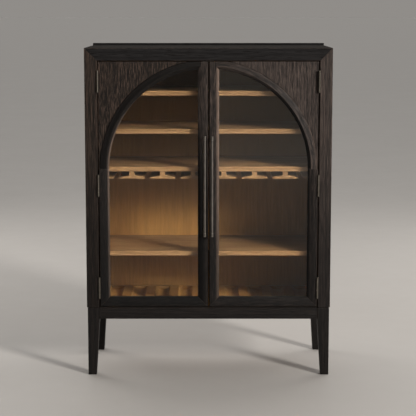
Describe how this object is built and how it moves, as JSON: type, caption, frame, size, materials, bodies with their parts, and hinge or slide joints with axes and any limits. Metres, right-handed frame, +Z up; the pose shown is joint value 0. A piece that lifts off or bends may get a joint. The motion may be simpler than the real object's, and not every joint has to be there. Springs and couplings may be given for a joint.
{
  "type": "bar cabinet",
  "caption": "Tall bar cabinet: mitred dark case on tapered legs, hinged glazed doors under a shared arch, with shelves, a stemware rack and a grooved bottle cradle inside.",
  "frame": {"origin": "on the floor, under the middle of the cabinet's box, handles included", "axes": "+Z up, +X to the right seen from the front, -Y out of the front"},
  "size_m": [1.07, 0.5364, 1.45],
  "materials": {
    "dark_oak": "near-black brushed open-grain oak, satin",
    "light_oak": "natural light oak, matte",
    "dark_metal": "blackened bronze colour, satin",
    "glass": "clear, polished",
    "steel": "plain plated plate"
  },
  "bodies": {
    "case": {"left_side_panel": "dark_oak", "right_side_panel": "dark_oak", "top_panel": "dark_oak", "back_gallery_rail": "dark_oak", "left_side_liner": "light_oak", "right_side_liner": "light_oak", "back_panel": "light_oak", "case_floor": "light_oak", "upper_shelf": "light_oak", "middle_shelf": "light_oak", "rack_shelf": "light_oak", "lower_shelf": "light_oak", "stem_runner_1": "light_oak", "stem_runner_2": "light_oak", "stem_runner_3": "light_oak", "stem_runner_4": "light_oak", "stem_runner_5": "light_oak", "stem_runner_6": "light_oak", "left_stem_cleat": "light_oak", "right_stem_cleat": "light_oak", "bottle_cradle": "light_oak", "front_left_leg": "dark_oak", "front_right_leg": "dark_oak", "rear_left_leg": "dark_oak", "rear_right_leg": "dark_oak", "front_apron": "dark_oak", "rear_apron": "dark_oak", "left_apron": "dark_oak", "right_apron": "dark_oak", "left_frame_leaf_1": "dark_metal", "left_frame_leaf_2": "dark_metal", "left_frame_leaf_3": "dark_metal", "right_frame_leaf_1": "dark_metal", "right_frame_leaf_2": "dark_metal", "right_frame_leaf_3": "dark_metal", "magnetic_catch": "dark_metal"},
    "left_door": {"left_hinge_stile": "dark_oak", "left_meeting_stile": "dark_oak", "left_bottom_rail": "dark_oak", "left_arch_band": "dark_oak", "left_spandrel": "dark_oak", "left_glass": "glass", "left_glass_bead": "dark_oak", "left_handle": "dark_metal", "left_door_leaf_1": "dark_metal", "left_door_leaf_2": "dark_metal", "left_door_leaf_3": "dark_metal", "left_strike_plate": "steel"},
    "right_door": {"right_hinge_stile": "dark_oak", "right_meeting_stile": "dark_oak", "right_bottom_rail": "dark_oak", "right_arch_band": "dark_oak", "right_spandrel": "dark_oak", "right_glass": "glass", "right_glass_bead": "dark_oak", "right_handle": "dark_metal", "right_door_leaf_1": "dark_metal", "right_door_leaf_2": "dark_metal", "right_door_leaf_3": "dark_metal", "right_strike_plate": "steel"}
  },
  "joints": [
    {"name": "left_door_hinge", "type": "hinge", "parent": "case", "child": "left_door", "pos_m": [-0.4784, -0.23475, 0.3072], "axis": [0, 0, -1], "range_deg": [0, 165]},
    {"name": "right_door_hinge", "type": "hinge", "parent": "case", "child": "right_door", "pos_m": [0.4784, -0.23475, 0.3072], "axis": [0, 0, 1], "range_deg": [0, 165]}
  ]
}
